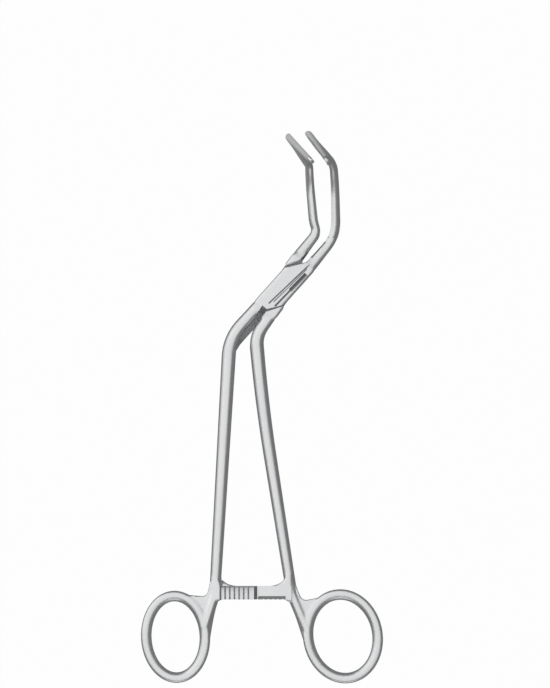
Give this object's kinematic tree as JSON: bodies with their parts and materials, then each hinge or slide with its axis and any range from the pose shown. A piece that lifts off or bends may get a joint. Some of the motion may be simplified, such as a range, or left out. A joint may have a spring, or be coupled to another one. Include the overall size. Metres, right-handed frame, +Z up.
{
  "type": "vascular clamp",
  "caption": "Ring-handled vascular clamp with box lock, ratchet and long angled jaws with toothed grip faces.",
  "frame": {"origin": "where the pivot's axis meets the underside of the box lock", "axes": "+Z up through the pivot, towards the raised jaws; +Y from the rings to the jaws; +X to the box half's jaw"},
  "size_m": [0.0968, 0.2208, 0.0574],
  "materials": {
    "half_steel": "satin stainless steel",
    "pin_steel": "ground stainless steel"
  },
  "bodies": {
    "box_body": {"box_half": "half_steel", "pivot_pin": "pin_steel"},
    "tongue_body": {"tongue_half": "half_steel"}
  },
  "joints": [
    {"name": "lock_hinge", "type": "hinge", "parent": "box_body", "child": "tongue_body", "pos_m": [0, 0, 0], "axis": [0, 0, 1], "range_deg": [-5.3, 38]}
  ]
}
